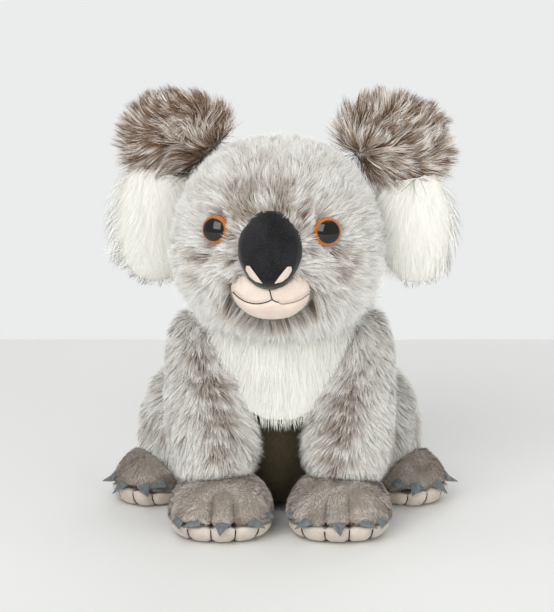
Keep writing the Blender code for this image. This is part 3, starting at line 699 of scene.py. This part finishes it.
body_skin = skin("body_skin", ["torso", "torso_filling", "pellet_bag"], "torso", backing,
                 3 * MM, PILE_INSET)
# The belly's faces take the dark backing, a painted shade.
body_skin.data.materials.append(backing_of_painted_shade)
for face in body_skin.data.polygons:
    face.material_index = int(in_shade(np.array([face.center]))[0])
grow("body_pile", body_skin, "torso", grey_pile, comb_body, 160, 21, reach=4 * MM,
     clear=["head", "chest_bib", "arm_left", "arm_right", "leg_left", "leg_right"],
     mix=(0.07, 0.2), tufts=((2, 0.5), (9, 0.15)))
grow("belly_pile", body_skin, "torso", painted_shade_pile, comb_belly, 150, 25, clear=["chest_bib"],
     segments=2, lean=(66, 86), glint=0.0, toward=(0, 0, 0), width=0.4 * MM, mix=(0.03, 0.03),
     ruffle=0.1, tufts=((9, 0.1),))
bib_skin = skin("bib_skin", ["chest_bib"], "torso", white_backing, 1.5 * MM, 0.5 * MM, smoothing=5)
grow("bib_pile", bib_skin, "torso", white_pile, comb_bib, 70, 31, reach=3 * MM,
     clear=["head", "torso", "arm_left", "arm_right"], lean=(80, 89), ruffle=0.10, droop=0.0,
     glint=0.0, width=0.22 * MM, tufts=((9, 0.08),))

# %% [markdown]
# On an arm the nap parts along the front, where the brown roots show as a streak, and runs down
# and outwards to pale edges. The haunches have the same coat, shorter and brushed down.

# %% The arms and legs
ARM_PILE, LEG_PILE = 11 * MM, 12 * MM
STREAK_TOP = {"left": 4, "right": 2}


def comb_arm(side, arm_skin):
    """Combs an arm away from a brown streak along its front, whose place the edges give."""
    paw, arm = middle(f"paw_{side}"), middle(f"arm_{side}")
    down = unit(paw - arm)
    across = unit(np.cross(down, [0, -1, 0]))
    ahead = np.cross(across, down)
    places, facing, _ = surface(arm_skin)
    shown = places[facing @ ahead > 0.15]
    steps = np.linspace(((shown - arm) @ down).min(), ((shown - arm) @ down).max(), 14)
    edges = []
    for step in steps:
        ring = shown[np.abs((shown - arm) @ down - step) < 6 * MM] - arm
        edges.append(((ring @ across).min(), (ring @ across).max()))
    edges = np.array(edges)

    def comb(points, normals):
        along = (points - arm) @ down
        low, high = (np.interp(along, steps, edges[:, k]) for k in (0, 1))
        aside = np.clip(((points - arm) @ across - (low + high) / 2) / (high - low) * 2, -1.3, 1.3)
        front = np.clip(normals @ ahead, 0, 1)
        top = np.clip(-normals @ down, 0, 1)[:, None]
        low_down = np.clip((along - steps[STREAK_TOP[side]]) / (25 * MM), 0, 1)
        inner = -np.sign(arm[0] * across[0])
        spread = np.where(aside * inner > 0, 1.25 * low_down - 0.3, 0.95) * aside
        flow = down + spread[:, None] * across + 0.5 * top * [np.sign(arm[0]), -0.3, 0]
        mottle = 1 + 0.8 * waves(points, 10 * MM, 9)[:, 0]
        streak = (np.exp(-((aside - 0.3 * inner) / 0.38) ** 2) * front
                  * (0.1 + 0.9 * low_down) * mottle)
        inward = np.clip(-np.sign(arm[0]) * normals[:, 0], 0, 1)
        lengths = ARM_PILE * (1 + inward * (1.1 * low_down - 0.8))
        return flow, lengths, 0.02 + streak, 0.1 * streak
    return comb


def comb_leg(points, normals):
    """Down and outwards."""
    flow = np.array([0, 0, -1]) + 0.5 * normals * [1, 1, 0]
    mottle = waves(points, 18 * MM, 3)[:, 0]
    return flow, LEG_PILE, 0.08 + 0.25 * mottle, 0


for number, side in enumerate(("left", "right")):
    rider = f"arm_{side}"
    arm = skin(f"arm_skin_{side}", [rider], rider, backing, 2.5 * MM, PILE_INSET, hull=True)
    grow(f"arm_pile_{side}", arm, rider, grey_pile, comb_arm(side, arm), 270, 41 + 4 * number,
         clear=["torso", f"paw_{side}"], reach=0.1 * MM, deep=5 * MM, lean=(34, 74),
         mix=(0.07, 0.3), width=0.24 * MM, tufts=((1.5, 0.6), (7, 0.12)), glint=0.9)
    rider = f"leg_{side}"
    leg = skin(f"leg_skin_{side}", [rider], rider, backing, 2.5 * MM, PILE_INSET)
    grow(f"leg_pile_{side}", leg, rider, grey_pile, comb_leg, 170, 51 + 4 * number,
         clear=["torso", f"foot_{side}", f"arm_{side}"], reach=3 * MM, lean=(30, 72),
         mix=(0.07, 0.24), tufts=((2, 0.55), (9, 0.15)), glint=0.7)

# %% [markdown]
# An ear is a flat pad sewn to the head at its lower inner corner. Its brown pile is the longest on
# the toy and stands out all round from that corner. The white fringe below it hangs down.

# %% The ears
OUT = {"left": 1, "right": -1}
EAR_PILE, FRINGE_PILE = 17 * MM, 17 * MM
# Both ears are of one pile; the right one is given a browner tone than the left as painted shade.
EAR_TONE_AND_SHADE = {"left": 0.54, "right": 0.9}
FRINGE_FLARE = {"left": 0.2, "right": 1.3}
FRINGE_INSET = {"left": 2.5 * MM, "right": 0.3 * MM}


def comb_ear(side):
    """Combs an ear outwards from its lower inner corner."""
    low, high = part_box(f"ear_{side}")
    inner = (low if side == "left" else high).x
    root = np.array([inner + OUT[side] * 4 * MM, middle(f"ear_{side}")[1], low.z])

    def comb(points, normals):
        patches = waves(points, 15 * MM, 5)[:, 1]
        under = np.clip(-normals[:, 2], 0, 1)
        inward = np.clip(-OUT[side] * normals[:, 0], 0, 1)
        base = near(points, root, 20 * MM)
        lengths = EAR_PILE * (1 + 0.4 * under + 0.15 * inward + 0.3 * base)
        flow = (unit(points - root) - under[:, None] * [0, 0, 0.7]
                + base[:, None] * [0.3 * OUT[side], 0, -0.9])
        return flow, lengths, EAR_TONE_AND_SHADE[side] + 0.15 * patches, 0
    return comb


def comb_fringe(side):
    """Combs a fringe down and apart, thinner on its flat sides."""
    low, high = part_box(f"ear_fringe_{side}")

    def comb(points, normals):
        aside = (points[:, 0] - (low.x + high.x) / 2) * 2 / (high.x - low.x)
        flare = np.where(aside * OUT[side] > 0, FRINGE_FLARE[side], 0.9)
        flow = np.stack([flare * aside, -0.1 + 0 * aside, -np.ones(len(points))], 1)
        low_down = np.clip((points[:, 2] - low.z) / (25 * MM), 0.4, 1)
        sparse = waves(points, 2 * MM, 3)[:, 0] > 1.3 * np.abs(normals[:, 1]) - 0.6
        return flow, FRINGE_PILE * low_down * sparse, 0.3, 0
    return comb


for number, side in enumerate(("left", "right")):
    rider = f"ear_{side}"
    fringe = skin(f"fringe_skin_{side}", [f"ear_fringe_{side}"], rider, white_backing, 2 * MM,
                  FRINGE_INSET[side])
    grow(f"fringe_pile_{side}", fringe, rider, white_pile, comb_fringe(side), 110,
         61 + 4 * number, clear=["head"], reach=0.1 * MM, deep=6 * MM, lean=(58, 86), droop=0.1,
         glint=0.0, width=0.2 * MM, toward=(0, -0.9, 0.7), tufts=((6, 0.1),))
    ear = skin(f"ear_skin_{side}", [rider], rider, backing, 2 * MM, PILE_INSET)
    grow(f"ear_pile_{side}", ear, rider, brown_pile, comb_ear(side), 290, 71 + 4 * number,
         clear=["head"], reach=0.1 * MM, deep=6 * MM, lean=(36, 76), ruffle=0.45,
         swirl=14 * MM, tufts=((1.6, 0.7), (6, 0.25)), mix=(0.2, 0.9), glint=0.9)

# %% [markdown]
# The paws and feet are padded. Their tops are a short, dense taupe plush, their soles a beige
# velour, and both are quilted between the toes: a thread pulls the cover in, and the stuffing
# puffs up beside it. Cloth that is held along the seams and blown up from inside does the same,
# so the seams are drawn in first, held, and the rest is left to the simulation.

# %% Quilting between the toes
SEAM_REACH, SEAM_WIDTH = 1.6 * MM, 1.5 * MM
PUFF_CAP = 2.2 * MM
PUFF_FRAMES = 20


def toe_seams(part, side):
    """The upright planes between neighbouring claws, as a point on the pad and a way outwards."""
    kind = "front" if part == "paw" else "hind"
    claws = [middle(f"{kind}_claw_{side}_{number}") for number in range(1, 6)]
    heel = 2 * middle(f"{part}_{side}") - (claws[1] + claws[3]) / 2
    seams = []
    for one, two in zip(claws, claws[1:]):
        way = unit(((one + two) / 2 - heel) * [1, 1, 0])
        seams.append((heel, way))
    return seams


def beside(points, seam):
    """How far points lie beside a seam's plane, and how far out along it."""
    heel, way = seam
    aside = np.cross(way, [0, 0, 1])
    return np.abs((points - heel) @ aside), (points - heel) @ way


def puff(obj, held, pressure):
    """Blows a cover up while its seams hold. No point moves further than the cap."""
    before = places_of(obj)
    group = obj.vertex_groups.new(name="seams")
    group.add([int(index) for index in np.nonzero(held)[0]], 1.0, "REPLACE")
    alone(obj)
    cloth = obj.modifiers.new("cloth", "CLOTH")
    cloth.settings.vertex_group_mass = "seams"
    cloth.settings.use_pressure = True
    cloth.settings.uniform_pressure_force = pressure
    cloth.settings.effector_weights.gravity = 0
    cloth.point_cache.frame_end = PUFF_FRAMES
    for step in range(1, PUFF_FRAMES + 1):
        bpy.context.scene.frame_set(step)
    bpy.ops.object.modifier_apply(modifier="cloth")
    bpy.context.scene.frame_set(1)
    obj.vertex_groups.clear()
    moved = places_of(obj) - before
    far = np.linalg.norm(moved, axis=1, keepdims=True)
    moved *= np.minimum(1, PUFF_CAP / np.maximum(far, 1e-9))
    set_places(obj, before + moved)
    apply(obj, "SMOOTH", factor=0.5, iterations=1)
    print(obj.name, "puffed by", round(float(far.max()) / MM, 1), "mm at most")


def quilt(obj, seams, depth, out_from):
    """Draws a padded cover in along its seams, then puffs it up between them."""
    _, normals, _ = surface(obj)
    places = places_of(obj)
    drawn = np.zeros(len(places))
    for seam in seams:
        aside, out = beside(places, seam)
        front = np.clip((out - out_from) / (10 * MM), 0, 1)
        drawn = np.maximum(drawn, np.exp(-(aside / SEAM_WIDTH) ** 2) * front)
    set_places(obj, places - normals * (depth * drawn)[:, None])
    puff(obj, drawn > 0.6, 3.0)
    places = places_of(obj)
    places[:, 2] = np.maximum(places[:, 2], GROUND)
    set_places(obj, places)


# %% [markdown]
# A seam's thread is laid on the finished cover. Points are cast onto the surface from outside,
# and a round curve through them becomes a mesh tube, half sunk into the cloth.

# %% Threads
def thread(name, body, points, thickness, look):
    """A sewn thread through points on the cloth."""
    data = bpy.data.curves.new(name, "CURVE")
    data.dimensions = "3D"
    data.bevel_depth = thickness / 2
    data.bevel_resolution = 2
    data.use_fill_caps = True
    line = data.splines.new("POLY")
    line.points.add(len(points) - 1)
    line.points.foreach_set("co", np.column_stack([points, np.ones(len(points))]).ravel())
    obj = link(bpy.data.objects.new(name, data))
    alone(obj)
    bpy.ops.object.convert(target="MESH")
    obj = bpy.context.view_layer.objects.active
    obj.data.materials.clear()
    obj.data.materials.append(look)
    obj.data.shade_smooth()
    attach(obj, body)


def rounded(corners, count):
    """Evenly spread points on a smooth line through the given ones."""
    corners = np.array(corners, float)
    padded = np.vstack([2 * corners[0] - corners[1], corners, 2 * corners[-1] - corners[-2]])
    found = []
    for at in np.linspace(0, len(corners) - 1 - 1e-9, count):
        index, t = int(at), at - int(at)
        a, b, c, d = padded[index:index + 4]
        found.append(0.5 * (2 * b + (c - a) * t + (2 * a - 5 * b + 4 * c - d) * t ** 2
                            + (3 * b - a - 3 * c + d) * t ** 3))
    return np.array(found)


# %% [markdown]
# Velour is even and matt, with patches where its short nap shifts the tone, a soft rim of light,
# and a grain of fibre ends that is drawn 0.5 mm coarse here. The felt is the same, but coarser.

# %% Velour and felt
def velour(name, light, dark, patch=9, roughness=0.9, sheen=0.35, grain=0.5, bump=0.35):
    """A short napped cloth: patches of two tones, a grain of fibre ends and a sheen."""
    made, tree, shader = material(name, roughness, Sheen_Weight=sheen, Sheen_Roughness=0.45,
                                  Specular_IOR_Level=0.2)
    place = node(tree, "ShaderNodeTexCoord").outputs["Object"]
    patches, ends = (node(tree, "ShaderNodeTexNoise", {"Vector": place},
                          {"Scale": 1000 / size, "Detail": detail}).outputs["Fac"]
                     for size, detail in ((patch, 3.0), (grain, 2.0)))
    both = node(tree, "ShaderNodeMath", {0: patches, 1: ends}, operation="ADD").outputs[0]
    tone = node(tree, "ShaderNodeMath", {0: both}, {1: 0.5}, operation="MULTIPLY").outputs[0]
    two_tones(tree, shader, tone, (0.38, 0.62), light, dark, ends, bump, 0.2 * MM)
    return made


beige_velour = velour("beige_polyester_velour", "#d9cfc3", "#c3b7aa")
pink_velour = velour("pink_cream_polyester_velour", "#ebded2", "#e1cec0")
black_velour = velour("black_polyester_velour", "#2a2a2d", "#121213", patch=14, sheen=0.25,
                      grain=0.8)
felt = velour("blue_grey_wool_felt", "#7f8688", "#555c5f", patch=2.5, roughness=1.0, sheen=0.2,
              grain=0.6, bump=0.8)
brown_thread = plain("brown_polyester_thread", "#2f2621", 0.7)
tan_thread = plain("tan_polyester_thread", "#a38c7c", 0.7)

# %% The paws, feet and their soles
PAW_PILE = 3.4 * MM
# Paws and feet are of one plush; the feet's browner tone is painted shade.
PAW_TONE_AND_SHADE = {"paw": 0.3, "foot": 0.6}
THREAD = 0.9 * MM
GROOVE_START, PAD_SEAM_START, SOLE_SEAM_START = 46 * MM, 44 * MM, 30 * MM


def comb_paw(seams, deep):
    """Combs a paw outwards, shorter along its seams and darker there as painted shade."""
    def comb(points, normals):
        groove = np.zeros(len(points))
        for seam in seams:
            aside, out = beside(points, seam)
            front = np.clip((out - GROOVE_START) / (8 * MM), 0, 1)
            groove = np.maximum(groove, np.exp(-(aside / (2 * MM)) ** 2) * front)
        flow = normals * [1, 1, 0] + [0, -0.5, -0.4]
        # Painted shade: the fibres darken in the grooves of the seams.
        tones = deep + 0.25 * waves(points, 12 * MM, 2)[:, 0] + 0.7 * groove
        return flow, PAW_PILE * (1 - 0.5 * groove), tones, 0
    return comb


for number, (part, body) in enumerate((("paw", "arm"), ("foot", "leg"))):
    for turn, side in enumerate(("left", "right")):
        rider, seams = f"{body}_{side}", toe_seams(part, side)
        pad = skin(f"{part}_skin_{side}", [f"{part}_{side}"], rider, taupe_backing, 1.8 * MM,
                   1.6 * MM)
        quilt(pad, seams[1:3], 2 * SEAM_REACH, PAD_SEAM_START)
        grow(f"{part}_pile_{side}", pad, rider, taupe_pile, comb_paw(seams[1:3], PAW_TONE_AND_SHADE[part]),
             260, 81 + 8 * number + 4 * turn, clear=[rider, f"{part}_sole_{side}"], reach=1 * MM,
             lean=(40, 78), segments=2, droop=0.0, ruffle=0.5, tufts=((2.5, 0.2), (7, 0.1)))
        sole = skin(f"{part}_sole_skin_{side}", [f"{part}_sole_{side}"], rider, beige_velour,
                    1.4 * MM, 0.1 * MM, smoothing=4)
        quilt(sole, seams, SEAM_REACH, SOLE_SEAM_START)
        tree = tree_of(sole)
        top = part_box(f"{part}_sole_{side}")[1].z
        for index, (heel, way) in enumerate(seams, start=1):
            line = []
            for height in np.linspace(THREAD, top, 12):
                start = Vector([*(heel + way * 0.1)[:2], height])
                hit = tree.ray_cast(start, Vector(-way))[0]
                if hit is not None:
                    line.append(np.array(hit))
            if len(line) > 2:
                thread(f"{part}_seam_{side}_{index}", rider, np.array(line), THREAD, brown_thread)

# %% [markdown]
# A claw is a wedge of blue-grey wool felt, cut as a triangle and folded along its middle. One is
# modelled from a cone: flattened, cut into rings and bent a little. Its copies take their place
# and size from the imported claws, and are then turned sideways by some degrees, because felt that
# is sewn on by hand lies askew.

# %% The claws
CLAW_CUTS = (-0.44, -0.25, 0.0, 0.25, 0.44)
CLAW_TURNS = (35, -48, 12, 52, -40)

bpy.ops.object.select_all(action="DESELECT")
bpy.ops.mesh.primitive_cone_add(vertices=20, radius1=0.5, radius2=0.04, depth=1.0)
pattern = bpy.context.view_layer.objects.active
pattern.name = "claw_pattern"
bpy.ops.object.mode_set(mode="EDIT")
for cut in CLAW_CUTS:
    bpy.ops.mesh.select_all(action="SELECT")
    bpy.ops.mesh.bisect(plane_co=(0, 0, cut), plane_no=(0, 0, 1))
bpy.ops.object.mode_set(mode="OBJECT")
shape = places_of(pattern)
shape[:, 0] *= 1.0 + 0.35 * (0.25 - shape[:, 2] ** 2)
shape[:, 1] *= 1.0 - 0.66 * np.abs(shape[:, 0])
shape[:, 1] -= 0.25 * np.clip(shape[:, 2], 0, 1) ** 2
set_places(pattern, shape)
pattern.data.materials.append(felt)

for kind, body, toe in (("front", "arm", "paw"), ("hind", "leg", "foot")):
    for side in ("left", "right"):
        for number, degrees in enumerate(CLAW_TURNS, start=1):
            name = f"{kind}_claw_{side}_{number}"
            packed = places_of(frame["nodes"][name])
            heart = packed.mean(0)
            axes = np.linalg.svd(packed - heart, full_matrices=False)[2]
            ahead = axes[0] * np.sign(axes[0] @ (heart - middle(f"{toe}_{side}")))
            up = axes[2] * np.sign(axes[2][2])
            wide = np.cross(up, ahead)
            along, over, across = ((packed - heart) @ axis for axis in (ahead, up, wide))
            turn = math.radians(degrees * OUT[side])
            turned = math.cos(turn) * ahead + math.sin(turn) * wide
            wide = math.cos(turn) * wide - math.sin(turn) * ahead
            drawn_in = 0.4 * (1 - math.cos(turn)) * ahead
            heart = heart + ahead * along.min() + (turned - drawn_in) * np.ptp(along) / 2
            scale = np.array([1.05 * np.ptp(across), 0.5 * np.ptp(over), 0.85 * np.ptp(along)])
            claw = link(bpy.data.objects.new(f"felt_{name}", pattern.data.copy()))
            set_places(claw, heart + (shape * scale) @ np.stack([wide, up, turned]))
            claw.data.shade_smooth()
            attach(claw, f"{body}_{side}")
            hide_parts(name)
bpy.data.objects.remove(pattern)
print("claws have", len(shape), "points each")

# %% [markdown]
# The nose is a padded egg of black velour with a pink patch for each nostril. The muzzle below it
# is pink-cream velour, whose thread draws in a philtrum and two curves for the mouth.

# %% The nose, nostrils and muzzle
CROWN_DROP = 1.5 * MM
nose_skin = skin("nose_skin", ["nose"], "head", black_velour, 1.2 * MM, 0.0, smoothing=8)
places = places_of(nose_skin)
crown = np.clip((places[:, 2] - places[:, 2].max()) / (20 * MM) + 1, 0, 1) ** 2
places[:, 2] -= crown * CROWN_DROP * ((places[:, 0] - nose[0]) / (10 * MM)) ** 2
set_places(nose_skin, places)
for side in ("left", "right"):
    patch = skin(f"nostril_skin_{side}", [f"nostril_{side}"], "head", pink_velour, 0.45 * MM,
                 0.0, smoothing=2)
    heart = middle(f"nostril_{side}")
    set_places(patch, heart + (places_of(patch) - heart) * [0.86, 1.0, 0.92])

muzzle_skin = skin("muzzle_skin", ["muzzle"], "head", pink_velour, 1.0 * MM, 0.0, smoothing=20)
MOUTH_DEPTH, MOUTH_WIDTH = 1.3 * MM, 1.7 * MM
mouth = {
    "philtrum": [(-1.0, 7.4), (-0.2, 3.6), (0.8, 0.4), (2.6, -0.9), (4.5, -1.5)],
    "mouth_right": [(-24.0, 2.3), (-16.2, -2.0), (-8.9, -3.0), (-2.7, -1.5), (0.8, 0.4)],
    "mouth_left": [(4.5, -1.5), (7.5, -2.8), (16.0, -1.4), (22.2, 1.2), (24.3, 2.6)]}
places, normals = places_of(muzzle_skin), surface(muzzle_skin)[1]
lines = {name: rounded(np.array(line) * MM + muzzle[[0, 2]], 40) for name, line in mouth.items()}
route = np.vstack(list(lines.values()))
gap = np.linalg.norm(places[:, None, [0, 2]] - route[None], axis=2).min(1)
drawn = np.exp(-(gap / MOUTH_WIDTH) ** 2) * (normals[:, 1] < 0)
set_places(muzzle_skin, places - normals * (MOUTH_DEPTH * drawn)[:, None])
puff(muzzle_skin, (drawn > 0.5) | (normals[:, 1] > 0.2), 2.0)
tree = tree_of(muzzle_skin)
for name, line in lines.items():
    hits = [tree.ray_cast(Vector((x, muzzle[1] - 0.1, z)), Vector((0, 1, 0)))[0] for x, z in line]
    hits = np.array([hit for hit in hits if hit is not None])
    look = tan_thread if name == "mouth_left" else brown_thread
    thread(f"{name}_thread", "head", hits, 0.8 * MM, look)

# %% [markdown]
# A safety eye is a turned plastic button: a dome with an amber ring round a black pupil, sealed
# under gloss, on a stem that locks behind the cloth. It is a sphere pressed flatter, cut off below
# its rim, with the stem drawn out of the cut.

# %% The eyes
DOME, STEM_RADIUS, STEM = 5.6 * MM, 2.4 * MM, 9 * MM
PUPIL, DEEP_RING = 0.75, 0.05
POLISH = {"Specular_IOR_Level": 0.1, "Coat_Weight": 1.0, "Coat_Roughness": 0.03}

eye_looks = [plain(f"{tint}_polished_acrylic", code, 0.15, **POLISH) for tint, code in (
    ("black", "#0c0a09"), ("amber", "#b4681a"), ("deep_amber", "#5e2f0a"))]
bpy.ops.object.select_all(action="DESELECT")
bpy.ops.mesh.primitive_uv_sphere_add(segments=64, ring_count=48, radius=EYE_RADIUS)
pattern = bpy.context.view_layer.objects.active
bpy.ops.object.mode_set(mode="EDIT")
bpy.ops.mesh.select_all(action="SELECT")
bpy.ops.transform.resize(value=(1, 1, DOME / EYE_RADIUS), center_override=(0, 0, 0))
bpy.ops.mesh.bisect(plane_co=(0, 0, -0.1 * DOME), plane_no=(0, 0, 1), clear_inner=True,
                    use_fill=True)
bpy.ops.mesh.inset(thickness=EYE_RADIUS - STEM_RADIUS)
bpy.ops.mesh.extrude_region_move(TRANSFORM_OT_translate={"value": (0, 0, -STEM)})
bpy.ops.mesh.select_all(action="SELECT")
bpy.ops.mesh.normals_make_consistent(inside=False)
bpy.ops.object.mode_set(mode="OBJECT")
for look in eye_looks:
    pattern.data.materials.append(look)
for face in pattern.data.polygons:
    reach = face.center.xy.length / EYE_RADIUS
    if reach < PUPIL or face.center.z < 0:
        face.material_index = 0
    else:
        face.material_index = 2 if reach < PUPIL + DEEP_RING else 1
button = places_of(pattern)
for side in ("left", "right"):
    packed = places_of(frame["nodes"][f"eye_{side}"])
    washer = places_of(frame["nodes"][f"eye_washer_{side}"])
    ahead = np.linalg.svd(washer - washer.mean(0), full_matrices=False)[2][2]
    ahead = -ahead * np.sign(ahead[1])
    wide = unit(np.cross([0, 0, 1], ahead))
    top = packed.mean(0) + ahead * ((packed - packed.mean(0)) @ ahead).max()
    eye = link(bpy.data.objects.new(f"safety_eye_{side}", pattern.data.copy()))
    set_places(eye, top - ahead * DOME + button @ np.stack([wide, np.cross(ahead, wide), ahead]))
    eye.data.shade_smooth()
    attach(eye, "head")
    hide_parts(f"eye_{side}")
bpy.data.objects.remove(pattern)
print("pupils are", round(2 * PUPIL * EYE_RADIUS / MM, 1), "mm across")

# %% [markdown]
# The new pieces are every mesh but the table, the wall, the default cube and the imported parts.

# %% The new pieces
others = {"table", "wall", "Cube", *frame["nodes"]}
pieces = [obj for obj in bpy.data.objects if obj.type == "MESH" and obj.name not in others]

# %% Finish
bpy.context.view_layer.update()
triangles = {obj.name: sum(len(face.vertices) - 2 for face in obj.data.polygons) for obj in pieces}
largest = max(triangles, key=triangles.get)
print(sum(triangles.values()), "triangles in all,", triangles[largest], "in", largest)
